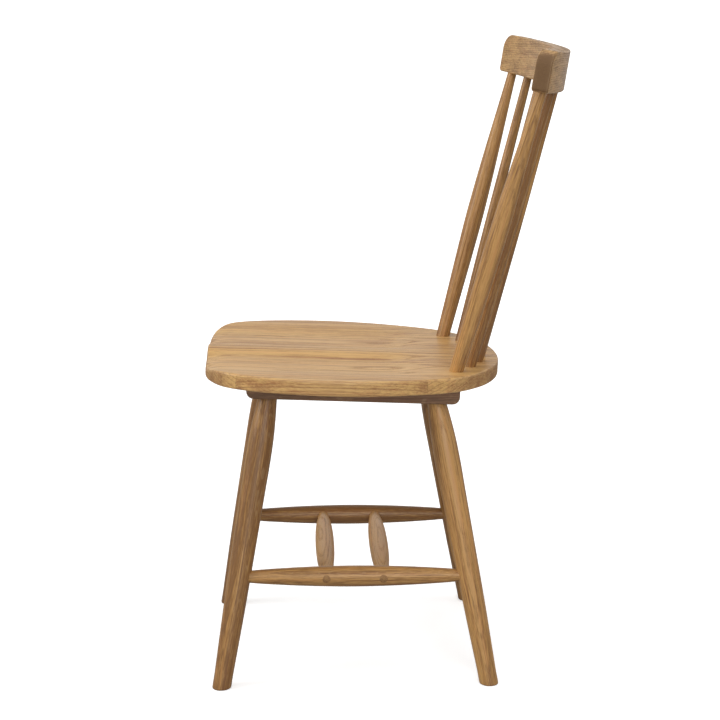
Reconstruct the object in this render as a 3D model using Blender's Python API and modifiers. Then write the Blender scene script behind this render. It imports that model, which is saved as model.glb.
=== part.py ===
"""Dining chair in solid oak, as an assembly of separate pieces.

A saddled, D-shaped seat panel rests on two battens that run from front to back.
Four turned legs are socketed into the battens and splay outwards in both directions.
A side stretcher ties the front and rear leg of each side, and two cross stretchers
tie the side stretchers, with round tenons that come through to the outer face.
The back has two thick turned posts, six thinner turned spindles and a curved,
raked crest rail.  Metres, +Z up, front of the chair towards -Y, +X is the right
hand side for somebody who faces the front of the chair.
"""

import math

import bmesh
import bpy
import numpy as np
from mathutils import Matrix, Vector

# ---------------------------------------------------------------- driving dimensions
FIT = 0.0003                 # clearance left between pieces that touch

SEAT_WIDTH = 0.414
SEAT_DEPTH = 0.412
SEAT_Y = 0.003               # middle of the seat, front to back
SEAT_THICKNESS = 0.021
SEAT_HEIGHT = 0.438          # top of the seat over the floor, half way back
SEAT_SLOPE = math.radians(2.3)
SEAT_EDGE = 0.003            # rounding of the top and bottom edges
HOLLOW_DEPTH = 0.0065        # depth of the two hollows of the saddle
RUN_OUT = 0.80               # how much deeper they are, as a share, at the very front edge
RIDGE_TOP = 0.03             # where the ridge between them begins and ends, as a share of
RIDGE_FOOT = 0.23            # half the seat's width

BATTEN_WIDTH = 0.046
BATTEN_HEIGHT = 0.0267
BATTEN_CORNER = 0.010        # rounding of the lower end corners
BATTEN_INSET = 0.0595        # from the front and the rear of the seat to a batten's ends
BATTEN_FORWARD = 0.002       # middle of a batten, in front of the middle of the seat
BATTEN_IN = 0.1105           # from the side of the seat to the middle of a batten

LEG_FROM_FRONT = 0.02982     # from the end of a batten to the middle of its leg
LEG_FROM_REAR = 0.03061
LEG_OUT_FRONT = 0.00075      # from the middle line of a batten to the middle of its leg
LEG_OUT_REAR = 0.00259
LEG_LEAN_X = 0.197           # run of a leg per unit of height, side to side
LEG_LEAN_FRONT = 0.171       # the same, front to back
LEG_LEAN_REAR = 0.182
LEG_RADIUS = 0.0176          # at the thickest place
LEG_SOCKET = 0.019           # depth of the sockets in the battens

SIDE_STRETCHER_Z = 0.150     # height of the middle line over the floor, at the front leg
SIDE_STRETCHER_DROP = 0.002  # how much lower it is at the rear leg
SIDE_STRETCHER_RADIUS = 0.0145
SIDE_STRETCHER_END = 0.0086
CROSS_TO_FRONT = 0.03836     # from the middle of a side stretcher to a cross stretcher
CROSS_TO_REAR = 0.03964
CROSS_STRETCHER_RADIUS = 0.0135
CROSS_STRETCHER_END = 0.0080
TENON_RADIUS = 0.0055        # round tenons that show on the side stretchers

BACK_COUNT = 8               # two posts and six spindles
BACK_IN_SIDE = 0.087         # from the side of the seat to the foot of a post
BACK_IN_REAR = 0.0255        # from the rear of the seat to the feet of the middle spindles
BACK_ARC_DEPTH = 0.0395      # depth of the arc from the middle spindles to the posts
POST_FOOT_FORWARD = 0.0038   # the feet of the posts stand this far in front of the arc
POST_RADIUS = 0.0127
POST_FOOT = 0.0097
POST_TOP = 0.0063
SPINDLE_RADIUS = 0.0078
SPINDLE_FOOT = 0.0067
SPINDLE_TOP = 0.0060
SEAT_SOCKET = 0.014
CREST_SOCKET = 0.020

CREST_HALF = 0.199           # half length of the rail, measured straight across
CREST_RADIUS = 0.465         # bend of the middle surface
CREST_THICKNESS = 0.0228
CREST_HEIGHT = 0.0550
CREST_RAKE = math.radians(9.0)
CREST_BEHIND = 0.0716        # bottom of the rail at its middle, behind the rear of the seat
CREST_OVER_SEAT = 0.3715     # bottom of the rail over the top of the seat
CREST_TOP_CORNER = 0.021
CREST_BOTTOM_CORNER = 0.005
CREST_EDGE = 0.002
POST_FROM_END = 0.025        # from the end of the rail to the middle of a post
CREST_WALL = 0.0023          # wood left in front of the socket of a post

SCREW_HEAD = 0.0042
SCREW_SHANK = 0.0020
SCREW_BITE = 0.0098          # how far a screw goes into the seat
SCREW_RECESS = 0.0028
SCREW_PITCH = 0.062          # distance between the screws of a batten

TURN_SEGMENTS = 24
SPINDLE_SEGMENTS = 18

# ---------------------------------------------------------------- sizes that follow
SEAT_SIDE = SEAT_WIDTH / 2.0
SEAT_REAR = SEAT_Y + SEAT_DEPTH / 2.0
BATTEN_LENGTH = SEAT_DEPTH - 2.0 * BATTEN_INSET
BATTEN_X = SEAT_SIDE - BATTEN_IN
BATTEN_Y = SEAT_Y - BATTEN_FORWARD
BATTEN_LOW = -SEAT_THICKNESS - FIT - BATTEN_HEIGHT      # underside, counted from the seat's top
BACK_ARC_HALF = SEAT_SIDE - BACK_IN_SIDE
BACK_ARC_RADIUS = (BACK_ARC_HALF ** 2 + BACK_ARC_DEPTH ** 2) / (2.0 * BACK_ARC_DEPTH)
BACK_ARC_Y = SEAT_REAR - BACK_IN_REAR
CREST_Y = SEAT_REAR + CREST_BEHIND
CREST_Z = SEAT_HEIGHT + CREST_OVER_SEAT
POST_ON_CREST = CREST_HALF - POST_FROM_END
POST_FORWARD = CREST_THICKNESS / 2.0 - CREST_WALL - POST_TOP
SCREW_LENGTH = BATTEN_HEIGHT + FIT - SCREW_RECESS + SCREW_BITE

# ---------------------------------------------------------------- scene set-up
for old in list(bpy.data.objects):
    bpy.data.objects.remove(old, do_unlink=True)

SCENE = bpy.context.scene
CHAIR = bpy.data.collections.new("dining_chair")
CUTTERS = bpy.data.collections.new("cutters")
SCENE.collection.children.link(CHAIR)
SCENE.collection.children.link(CUTTERS)


def material(name, colour, roughness, metallic):
    """A plain Principled material."""
    mat = bpy.data.materials.new(name)
    mat.use_nodes = True
    bsdf = mat.node_tree.nodes["Principled BSDF"]
    bsdf.inputs["Base Color"].default_value = (*colour, 1.0)
    bsdf.inputs["Roughness"].default_value = roughness
    bsdf.inputs["Metallic"].default_value = metallic
    mat.diffuse_color = (*colour, 1.0)
    return mat


OAK_SEAT = material("oak_seat", (0.55, 0.35, 0.17), 0.45, 0.0)
OAK_TURNED = material("oak_turned", (0.47, 0.28, 0.12), 0.45, 0.0)
OAK_BATTEN = material("oak_batten", (0.36, 0.20, 0.08), 0.5, 0.0)
STEEL = material("zinc_plated_steel", (0.62, 0.61, 0.58), 0.35, 1.0)


def mesh_object(name, verts, faces, mat, collection=CHAIR):
    """Make one closed mesh object with its faces turned outwards."""
    mesh = bpy.data.meshes.new(name)
    mesh.from_pydata([tuple(v) for v in verts], [], faces)
    mesh.validate()
    bm = bmesh.new()
    bm.from_mesh(mesh)
    bmesh.ops.recalc_face_normals(bm, faces=bm.faces)
    bm.to_mesh(mesh)
    bm.free()
    if mat is not None:
        mesh.materials.append(mat)
    obj = bpy.data.objects.new(name, mesh)
    collection.objects.link(obj)
    return obj


def rings_to_faces(count, size):
    """Quads between successive rings, closed by one flat face at either end."""
    faces = [tuple(range(size))]
    for i in range(count - 1):
        a = i * size
        b = a + size
        for k in range(size):
            n = (k + 1) % size
            faces.append((a + k, a + n, b + n, b + k))
    faces.append(tuple(range((count - 1) * size, count * size)))
    return faces


def frame_along(direction):
    """Two unit vectors square to a direction."""
    d = Vector(direction).normalized()
    side = d.cross(Vector((0.0, 0.0, 1.0)))
    if side.length < 1e-6:
        side = Vector((1.0, 0.0, 0.0))
    side.normalize()
    other = d.cross(side).normalized()
    return d, side, other


def turned(name, start, end, profile, mat, segments, collection=CHAIR):
    """A turned piece: profile is a list of (distance from start, radius)."""
    d, side, other = frame_along(Vector(end) - Vector(start))
    verts = []
    for dist, radius in profile:
        centre = Vector(start) + d * dist
        for k in range(segments):
            a = 2.0 * math.pi * k / segments
            verts.append(centre + (side * math.cos(a) + other * math.sin(a)) * radius)
    faces = rings_to_faces(len(profile), segments)
    return mesh_object(name, verts, faces, mat, collection)


def cutter(name, start, end, profile, segments=TURN_SEGMENTS):
    """A turned cutter, kept out of the chair itself."""
    obj = turned(name, start, end, profile, None, segments, CUTTERS)
    obj.hide_render = True
    obj.display_type = "WIRE"
    return obj


def cut(obj, tool):
    """Subtract a cutter from a piece."""
    mod = obj.modifiers.new("cut_" + tool.name, "BOOLEAN")
    mod.operation = "DIFFERENCE"
    mod.solver = "EXACT"
    mod.object = tool


def smooth_profile(points, steps):
    """Cubic interpolation of (position, radius) pairs at evenly spread positions."""
    xs = np.array([p[0] for p in points])
    rs = np.array([p[1] for p in points])
    slopes = np.gradient(rs, xs)
    out = []
    for t in np.linspace(xs[0], xs[-1], steps):
        i = min(max(int(np.searchsorted(xs, t)) - 1, 0), len(xs) - 2)
        h = xs[i + 1] - xs[i]
        u = (t - xs[i]) / h
        a = (1 + 2 * u) * (1 - u) ** 2 * rs[i] + u * (1 - u) ** 2 * h * slopes[i]
        b = u * u * (3 - 2 * u) * rs[i + 1] + u * u * (u - 1) * h * slopes[i + 1]
        out.append((float(t), float(a + b)))
    return out


# ---------------------------------------------------------------- seat frame of reference
SEAT_MATRIX = (
    Matrix.Translation((0.0, 0.0, SEAT_HEIGHT)) @ Matrix.Rotation(-SEAT_SLOPE, 4, "X")
)


def seat_point(x, y, z):
    """A point given on the seat panel: z is counted from its top, downwards is negative."""
    return SEAT_MATRIX @ Vector((x, y, z))


# ---------------------------------------------------------------- seat panel
OUTLINE = [
    (0.00, -1.000), (0.30, -1.000), (0.55, -0.990), (0.70, -0.945), (0.82, -0.865),
    (0.905, -0.725), (0.962, -0.54), (0.992, -0.35), (1.000, -0.18), (0.990, 0.00),
    (0.955, 0.20), (0.897, 0.40), (0.828, 0.575), (0.757, 0.690), (0.655, 0.790),
    (0.520, 0.882), (0.350, 0.952), (0.180, 0.988), (0.00, 1.000),
]


def seat_outline(count):
    """Points on the outline of the seat, evenly spread along it."""
    half_w = SEAT_WIDTH / 2.0
    half_d = SEAT_DEPTH / 2.0
    right = [(x * half_w, SEAT_Y + y * half_d) for x, y in OUTLINE]
    left = [(-x, y) for x, y in reversed(right[1:-1])]
    loop = np.array(right + left)
    total = len(loop)
    fine = []
    for i in range(total):
        p0 = loop[(i - 1) % total]
        p1 = loop[i]
        p2 = loop[(i + 1) % total]
        p3 = loop[(i + 2) % total]
        for u in np.linspace(0.0, 1.0, 24, endpoint=False):
            fine.append(0.5 * (2 * p1 + (p2 - p0) * u
                               + (2 * p0 - 5 * p1 + 4 * p2 - p3) * u * u
                               + (3 * p1 - 3 * p2 + p3 - p0) * u ** 3))
    fine = np.array(fine)
    closed = np.vstack([fine, fine[:1]])
    run = np.concatenate([[0.0], np.cumsum(np.linalg.norm(np.diff(closed, axis=0), axis=1))])
    at = np.linspace(0.0, run[-1], count, endpoint=False)
    return np.column_stack([np.interp(at, run, closed[:, 0]), np.interp(at, run, closed[:, 1])])


def eased(value, low, high):
    """0 below low, 1 above high, and a smooth step between them."""
    u = min(max((value - low) / (high - low), 0.0), 1.0)
    return u * u * (3.0 - 2.0 * u)


def hollow(x, y):
    """Depth of the saddle under the flat top at a place on the seat."""
    half_w = SEAT_WIDTH / 2.0
    half_d = SEAT_DEPTH / 2.0
    across = abs(x) / half_w
    along = (y - SEAT_Y) / half_d
    pair = eased(across, RIDGE_TOP, RIDGE_FOOT) * (1.0 - eased(across, 0.50, 0.86))
    length = 1.0 / (1.0 + math.exp((along - 0.36) / 0.07))
    front = 0.78 + 0.22 / (1.0 + math.exp(-(along + 0.70) / 0.10))
    front += RUN_OUT * math.exp(-(along + 1.0) / 0.07)
    return HOLLOW_DEPTH * pair * length * front


def make_seat():
    """The seat panel: rings that shrink to the middle on the top and underneath."""
    count = 96
    rim = seat_outline(count)
    normal = np.roll(rim, -1, axis=0) - np.roll(rim, 1, axis=0)
    normal = np.column_stack([normal[:, 1], -normal[:, 0]])
    normal /= np.linalg.norm(normal, axis=1)[:, None]
    verts = []

    def ring(points, z_of):
        for px, py in points:
            verts.append(seat_point(px, py, z_of(px, py)))

    r = SEAT_EDGE
    t = SEAT_THICKNESS
    inner = rim - normal * r
    middle = rim - normal * r * (1 - math.sin(math.radians(45)))
    drop = r * (1 - math.cos(math.radians(45)))
    scales = [0.05, 0.11, 0.17, 0.23, 0.30, 0.38, 0.47, 0.56, 0.66, 0.76, 0.86, 0.93, 0.97]
    centre = np.array([0.0, SEAT_Y])
    for s in scales:
        ring(centre + (inner - centre) * s, lambda x, y: -hollow(x, y))
    ring(inner, lambda x, y: -hollow(x, y))
    ring(middle, lambda x, y: -drop - hollow(x, y))
    ring(rim, lambda x, y: -r - hollow(x, y))
    ring(rim, lambda x, y: -t + r)
    ring(middle, lambda x, y: -t + drop)
    ring(inner, lambda x, y: -t)
    return mesh_object("seat", verts, rings_to_faces(len(scales) + 6, count), OAK_SEAT)


SEAT = make_seat()

# ---------------------------------------------------------------- battens under the seat


def make_batten(name, sign):
    """A bar with rounded lower end corners, flat against the underside of the seat."""
    half = BATTEN_LENGTH / 2.0
    top = -SEAT_THICKNESS - FIT
    low = BATTEN_LOW
    c = BATTEN_CORNER
    outline = [(-half, top), (half, top)]
    for k in range(6):
        a = math.radians(18.0 * k)
        outline.append((half - c + c * math.cos(a), low + c - c * math.sin(a)))
    for k in range(6):
        a = math.radians(18.0 * k)
        outline.append((-half + c - c * math.sin(a), low + c - c * math.cos(a)))
    size = len(outline)
    verts = []
    for x in (sign * BATTEN_X - BATTEN_WIDTH / 2.0, sign * BATTEN_X + BATTEN_WIDTH / 2.0):
        for y, z in outline:
            verts.append(seat_point(x, BATTEN_Y + y, z))
    obj = mesh_object(name, verts, rings_to_faces(2, size), OAK_BATTEN)
    bevel = obj.modifiers.new("arris", "BEVEL")
    bevel.width = 0.0012
    bevel.segments = 1
    bevel.limit_method = "ANGLE"
    bevel.angle_limit = math.radians(40.0)
    return obj


BATTENS = {1: make_batten("seat_batten_right", 1), -1: make_batten("seat_batten_left", -1)}

# ---------------------------------------------------------------- legs


def leg_head(side, end):
    """Where the middle line of a leg enters the underside of its batten."""
    out = LEG_OUT_FRONT if end < 0 else LEG_OUT_REAR
    inset = LEG_FROM_FRONT if end < 0 else LEG_FROM_REAR
    return seat_point(side * (BATTEN_X + out), BATTEN_Y + end * (BATTEN_LENGTH / 2.0 - inset),
                      BATTEN_LOW)


def leg_axis(side, end):
    """Foot of a leg and the run of its middle line per unit of height."""
    lean_y = LEG_LEAN_FRONT if end < 0 else LEG_LEAN_REAR
    run = Vector((-side * LEG_LEAN_X, -end * lean_y, 1.0))
    head = leg_head(side, end)
    return head - run * head.z, run


def make_leg(name, side, end):
    """A turned leg, thickest below its top, cut level at the floor."""
    foot, run = leg_axis(side, end)
    under = leg_head(side, end)
    direction = run.normalized()
    reach = (under - foot).length
    top = reach + LEG_SOCKET
    r = LEG_RADIUS
    shape = [
        (0.0, 0.735 * r), (0.045 * reach, 0.735 * r), (0.28 * reach, 0.86 * r),
        (0.50 * reach, 0.925 * r), (0.66 * reach, 0.965 * r), (0.80 * reach, r),
        (0.86 * reach, 0.975 * r), (0.93 * reach, 0.875 * r), (0.995 * reach, 0.735 * r),
        (reach + 0.004, 0.725 * r), (top, 0.700 * r),
    ]
    body = smooth_profile(shape[1:-2], 13) + shape[-2:]
    d, sa, sb = frame_along(run)
    verts = []
    floor_rings = [(0.0, 0.90), (0.0007, 0.97), (0.0022, 1.0)]
    for height, share in floor_rings:
        for k in range(TURN_SEGMENTS):
            a = 2.0 * math.pi * k / TURN_SEGMENTS
            p = foot + (sa * math.cos(a) + sb * math.sin(a)) * (shape[0][1] * share)
            p = p + direction * ((height - p.z) / direction.z)
            verts.append(p)
    for dist, radius in body:
        centre = foot + direction * dist
        for k in range(TURN_SEGMENTS):
            a = 2.0 * math.pi * k / TURN_SEGMENTS
            verts.append(centre + (sa * math.cos(a) + sb * math.sin(a)) * radius)
    faces = rings_to_faces(len(floor_rings) + len(body), TURN_SEGMENTS)
    obj = mesh_object(name, verts, faces, OAK_TURNED)
    socket_radius = 0.735 * r + FIT + 0.0001
    start = foot + direction * (reach - 0.02)
    tool = cutter("socket_" + name, start, start + direction,
                  [(0.0, socket_radius), (0.02 + LEG_SOCKET + FIT, socket_radius)])
    cut(BATTENS[side], tool)
    return obj


LEGS = {}
for side, side_name in ((1, "right"), (-1, "left")):
    for end, end_name in ((-1, "front"), (1, "rear")):
        LEGS[side, end] = make_leg("leg_%s_%s" % (end_name, side_name), side, end)

# ---------------------------------------------------------------- side stretchers


def stretcher_ends(side):
    """Where the middle line of a side stretcher meets the middle lines of its legs."""
    out = []
    for end in (-1, 1):
        foot, run = leg_axis(side, end)
        out.append(foot + run * (SIDE_STRETCHER_Z - (SIDE_STRETCHER_DROP if end > 0 else 0.0)))
    return out


SIDES = {}
PAST_AXIS = 0.004            # how far a stretcher end goes beyond the middle of a leg
SIDE_LET_IN = PAST_AXIS + 0.91 * LEG_RADIUS     # straight end that lies in the leg
for side, side_name in ((1, "right"), (-1, "left")):
    front, rear = stretcher_ends(side)
    d = (rear - front).normalized()
    start = front - d * PAST_AXIS
    length = (rear - front).length + 2 * PAST_AXIS
    e = SIDE_STRETCHER_END
    m = SIDE_STRETCHER_RADIUS
    half = [(0.0, 0.97 * e), (SIDE_LET_IN / length, e),
            (SIDE_LET_IN / length + 0.0335, e + 0.16 * (m - e)),
            (0.17, e + 0.43 * (m - e)), (0.26, e + 0.69 * (m - e)),
            (0.37, e + 0.90 * (m - e)), (0.5, m)]
    full = half + [(1.0 - t, r) for t, r in reversed(half[:-1])]
    shape = [(t * length, r) for t, r in full]
    SIDES[side] = turned("side_stretcher_" + side_name, start, start + d,
                         smooth_profile(shape, 19), OAK_TURNED, TURN_SEGMENTS)
    for end, origin, heading in ((-1, front, -d), (1, rear, d)):
        leg = LEGS[side, end]
        mouth = LEG_RADIUS + 0.0104
        tool_start = origin - heading * mouth
        tool = cutter("socket_side_" + leg.name, tool_start, tool_start + heading,
                      [(0.0, e + FIT + 0.0001),
                       (mouth + PAST_AXIS + FIT, e + FIT + 0.0001)])
        cut(leg, tool)

# ---------------------------------------------------------------- cross stretchers


def side_middle(side, y):
    """Point on the middle line of a side stretcher for a distance front to back."""
    front, rear = stretcher_ends(side)
    t = (y - front.y) / (rear.y - front.y)
    return front + (rear - front) * t


def side_radius(y):
    """Radius of a side stretcher for a distance front to back."""
    front, rear = stretcher_ends(1)
    length = (rear - front).length + 2 * PAST_AXIS
    t = (y - front.y + PAST_AXIS) / length
    e = SIDE_STRETCHER_END
    m = SIDE_STRETCHER_RADIUS
    xs = [0.0, 0.26, 0.37, 0.5, 0.63, 0.74, 1.0]
    share = [0.0, 0.69, 0.90, 1.0, 0.90, 0.69, 0.0]
    return e + (m - e) * float(np.interp(t, xs, share))


SHOULDER_IN = 0.0040         # how far the full end of a cross stretcher is let in


def make_cross(name, y):
    """A cross stretcher with a stepped round tenon at either end."""
    left = side_middle(-1, y)
    right = side_middle(1, y)
    span = (right - left).length
    d = (right - left).normalized()
    rs = side_radius(y)
    e = CROSS_STRETCHER_END
    m = CROSS_STRETCHER_RADIUS
    t = TENON_RADIUS
    shoulder = span / 2.0 - rs + SHOULDER_IN
    body = [(-1.0, e), (-0.93, e + 0.06 * (m - e)), (-0.75, e + 0.46 * (m - e)),
            (-0.52, e + 0.78 * (m - e)), (-0.26, e + 0.95 * (m - e)), (0.0, m)]
    body = body + [(-u, r) for u, r in reversed(body[:-1])]
    body = smooth_profile([(u * shoulder, r) for u, r in body], 17)
    middle = (left + right) / 2.0
    dd, sa, sb = frame_along(d)
    verts = []

    def ring(dist_of, radius):
        for k in range(TURN_SEGMENTS):
            a = 2.0 * math.pi * k / TURN_SEGMENTS
            off = (sa * math.cos(a) + sb * math.sin(a)) * radius
            verts.append(middle + dd * dist_of(off) + off)

    def flush(sign):
        # the end of the tenon is dressed off level with the round stretcher
        return lambda off: sign * (span / 2.0 + math.sqrt(max(rs * rs - off.z ** 2, 0.0))
                                   - 0.0003)

    ring(flush(-1), 0.35 * t)
    ring(flush(-1), 0.72 * t)
    ring(flush(-1), t)
    ring(lambda off: -shoulder - 0.0005, t)
    ring(lambda off: -shoulder, t + 0.0008)
    for dist, radius in body:
        ring(lambda off, dist=dist: dist, radius)
    ring(lambda off: shoulder, t + 0.0008)
    ring(lambda off: shoulder + 0.0005, t)
    ring(flush(1), t)
    ring(flush(1), 0.72 * t)
    ring(flush(1), 0.35 * t)
    obj = mesh_object(name, verts, rings_to_faces(len(body) + 10, TURN_SEGMENTS), OAK_TURNED)
    for sign in (1, -1):
        start = middle + dd * (sign * (shoulder - 0.02))
        heading = dd * sign
        tool = cutter("socket_%s_%s" % (name, "right" if sign > 0 else "left"),
                      start, start + heading,
                      [(0.0, e + FIT + 0.0001), (0.02 + FIT, e + FIT + 0.0001),
                       (0.02 + FIT + 0.00002, t + FIT), (0.02 + 2.4 * rs, t + FIT)])
        cut(SIDES[sign], tool)
    return obj


MIDDLE_Y = sum(point.y for point in stretcher_ends(1)) / 2.0
make_cross("cross_stretcher_front", MIDDLE_Y - CROSS_TO_FRONT)
make_cross("cross_stretcher_rear", MIDDLE_Y + CROSS_TO_REAR)

# ---------------------------------------------------------------- crest rail

CREST_MATRIX = (
    Matrix.Translation((0.0, CREST_Y, CREST_Z)) @ Matrix.Rotation(-CREST_RAKE, 4, "X")
)


def crest_point(angle, offset, height):
    """A point on the rail: angle round the bend, offset outwards, height up the rail."""
    radius = CREST_RADIUS + offset
    x = radius * math.sin(angle)
    y = radius * math.cos(angle) - CREST_RADIUS
    return CREST_MATRIX @ Vector((x, y, height))


def make_crest():
    """The rail as a row of sections, each a rounded block between two heights."""
    half_angle = math.asin(CREST_HALF / CREST_RADIUS)
    run = CREST_RADIUS * half_angle
    big = CREST_TOP_CORNER
    small = CREST_BOTTOM_CORNER
    e = CREST_EDGE
    half_t = CREST_THICKNESS / 2.0
    stations = [(run, big, small, e), (run, big, small, 0.35 * e)]
    for deg in (75, 60, 45, 30, 15, 0):
        a = math.radians(deg)
        s = run - big + big * math.sin(a)
        low_gap = s - (run - small)
        low = small - math.sqrt(max(small ** 2 - max(low_gap, 0.0) ** 2, 0.0))
        stations.append((s, big - big * math.cos(a), low, 0.0))
    stations[0] = (run, big * 0.94, small * 0.94, e)
    stations[1] = (run - 0.0006, big * 0.80, small * 0.62, 0.3 * e)
    inner = np.linspace(run - big, -(run - big), 16)[1:-1]
    middle = [(float(s), 0.0, 0.0, 0.0) for s in inner]
    mirrored = [(-s, up, low, inset) for s, up, low, inset in reversed(stations)]
    rows = stations + middle + mirrored
    verts = []
    for s, up, low, inset in rows:
        angle = s / CREST_RADIUS
        top = CREST_HEIGHT - up - inset
        bottom = low + inset
        w = half_t - inset
        section = [(-w, bottom + e), (-w, 0.5 * (bottom + top)), (-w, top - e)]
        section += [(-w + 0.3 * e, top - 0.3 * e), (-w + e, top), (w - e, top)]
        section += [(w - 0.3 * e, top - 0.3 * e), (w, top - e), (w, 0.5 * (bottom + top))]
        section += [(w, bottom + e), (w - 0.3 * e, bottom + 0.3 * e), (w - e, bottom)]
        section += [(-w + e, bottom), (-w + 0.3 * e, bottom + 0.3 * e)]
        for offset, height in section:
            verts.append(crest_point(angle, offset, height))
    return mesh_object("crest_rail", verts, rings_to_faces(len(rows), 14), OAK_SEAT)


CREST = make_crest()

# ---------------------------------------------------------------- back posts and spindles


def back_foot(i):
    """Where a back piece stands on the top of the seat."""
    half_angle = math.asin(BACK_ARC_HALF / BACK_ARC_RADIUS)
    share = -1.0 + 2.0 * i / (BACK_COUNT - 1)
    a = half_angle * share
    x = BACK_ARC_RADIUS * math.sin(a)
    y = BACK_ARC_Y - BACK_ARC_RADIUS + BACK_ARC_RADIUS * math.cos(a)
    if i in (0, BACK_COUNT - 1):
        y -= POST_FOOT_FORWARD
    return seat_point(x, y, 0.0)


def back_head(i):
    """Where a back piece crosses the underside of the crest rail."""
    half_angle = math.asin(POST_ON_CREST / CREST_RADIUS)
    share = -1.0 + 2.0 * i / (BACK_COUNT - 1)
    return crest_point(half_angle * share, -POST_FORWARD * share ** 2, CREST_SOCKET * 0.45)


def make_back_piece(name, i, thick):
    """A turned post or spindle, let into the seat and into the crest rail."""
    foot = back_foot(i)
    head = back_head(i)
    d = (head - foot).normalized()
    reach = (head - foot).length
    if thick:
        f, m, t = POST_FOOT, POST_RADIUS, POST_TOP
        shape = [(0.0, f), (0.20, f + 0.48 * (m - f)), (0.33, f + 0.82 * (m - f)), (0.44, m),
                 (0.56, m - 0.10 * (m - t)), (0.70, m - 0.35 * (m - t)),
                 (0.82, m - 0.63 * (m - t)), (0.92, m - 0.86 * (m - t)), (1.0, t)]
        segments = 22
        steps = 15
    else:
        f, m, t = SPINDLE_FOOT, SPINDLE_RADIUS, SPINDLE_TOP
        shape = [(0.0, f), (0.22, f + 0.62 * (m - f)), (0.42, m), (0.60, m - 0.15 * (m - t)),
                 (0.80, m - 0.60 * (m - t)), (1.0, t)]
        segments = SPINDLE_SEGMENTS
        steps = 11
    low = SEAT_SOCKET
    high = CREST_SOCKET * 0.5
    body = smooth_profile([(low + u * reach, r) for u, r in shape], steps)
    profile = [(0.0, f - 0.0006), (0.0008, f)] + body + [(low + reach + high - 0.0008, t),
                                                        (low + reach + high, t - 0.0006)]
    start = foot - d * low
    obj = turned(name, start, start + d, profile, OAK_TURNED, segments)
    # the sockets are a little wider than the ends, so nothing touches
    over = 0.02
    seat_tool = cutter("seat_socket_" + name, start - d * FIT, start + d,
                       [(0.0, f + FIT + 0.0001), (low + FIT + 0.0045, f + FIT + 0.0001),
                        (low + FIT + over, f + FIT + 0.0022)], segments)
    cut(SEAT, seat_tool)
    top_end = foot + d * (reach + high + FIT)
    crest_tool = cutter("crest_socket_" + name, top_end, top_end - d,
                        [(0.0, t + FIT + 0.0001), (CREST_SOCKET + 0.012, t + FIT + 0.0004)],
                        segments)
    cut(CREST, crest_tool)
    return obj


make_back_piece("back_post_left", 0, True)
for index in range(1, BACK_COUNT - 1):
    make_back_piece("back_spindle_%d" % index, index, False)
make_back_piece("back_post_right", BACK_COUNT - 1, True)

# ---------------------------------------------------------------- screws


def make_screw(name, side, y):
    """A countersunk wood screw driven up through a batten into the seat."""
    x = side * BATTEN_X
    head_at = BATTEN_LOW + SCREW_RECESS
    base = seat_point(x, BATTEN_Y + y, head_at)
    up = (seat_point(x, BATTEN_Y + y, 0.0) - base).normalized()
    h = SCREW_HEAD
    s = SCREW_SHANK
    profile = [(0.0, 0.97 * h), (0.0003, h), (0.0006, h), (0.0027, s), (SCREW_LENGTH - 0.006, s),
               (SCREW_LENGTH - 0.0005, 0.25 * s), (SCREW_LENGTH, 0.12 * s)]
    obj = turned(name, base, base + up, profile, STEEL, 16)
    for turn in (0.0, 90.0):
        slot = bpy.data.meshes.new("slot_%s_%d" % (name, int(turn)))
        bm = bmesh.new()
        bmesh.ops.create_cube(bm, size=1.0)
        place = (Matrix.Translation(base) @ up.to_track_quat("Z", "Y").to_matrix().to_4x4()
                 @ Matrix.Rotation(math.radians(turn + 45.0), 4, "Z")
                 @ Matrix.Diagonal((h * 1.05, h * 0.26, 0.0028, 1.0)))
        bmesh.ops.transform(bm, matrix=place, verts=bm.verts)
        bm.to_mesh(slot)
        bm.free()
        tool = bpy.data.objects.new(slot.name, slot)
        CUTTERS.objects.link(tool)
        tool.hide_render = True
        tool.display_type = "WIRE"
        cut(obj, tool)
    g = FIT + 0.0001
    hole = cutter("hole_" + name, base - up * (SCREW_RECESS + 0.002), base + up,
                  [(0.0, h + g), (SCREW_RECESS + 0.002 + 0.0006 + g, h + g),
                   (SCREW_RECESS + 0.002 + 0.0027 + 1.4 * g, s + g),
                   (SCREW_RECESS + 0.002 + SCREW_LENGTH - 0.006 + g, s + g),
                   (SCREW_RECESS + 0.002 + SCREW_LENGTH + 2 * g, 0.45 * s + g)], 16)
    cut(BATTENS[side], hole)
    cut(SEAT, hole)
    return obj


for side, side_name in ((1, "right"), (-1, "left")):
    for number, place_y in enumerate((-SCREW_PITCH, 0.0, SCREW_PITCH), start=1):
        make_screw("batten_screw_%s_%d" % (side_name, number), side, place_y)

# ---------------------------------------------------------------- origin under the middle
# Everything hangs from one empty, placed so the origin lies on the floor under the
# middle of the chair's overall box.
ROOT = bpy.data.objects.new("dining_chair_origin", None)
CHAIR.objects.link(ROOT)
for obj in list(CHAIR.objects) + list(CUTTERS.objects):
    if obj is not ROOT:
        obj.parent = ROOT
bpy.context.view_layer.update()
lows = []
highs = []
for obj in CHAIR.objects:
    if obj.type != "MESH":
        continue
    flat = np.empty(len(obj.data.vertices) * 3)
    obj.data.vertices.foreach_get("co", flat)
    pts = flat.reshape(-1, 3)
    lows.append(pts.min(axis=0))
    highs.append(pts.max(axis=0))
low = np.min(lows, axis=0)
high = np.max(highs, axis=0)
ROOT.location = (-(low[0] + high[0]) / 2.0, -(low[1] + high[1]) / 2.0, -low[2])
bpy.context.view_layer.update()
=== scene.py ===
import math

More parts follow.
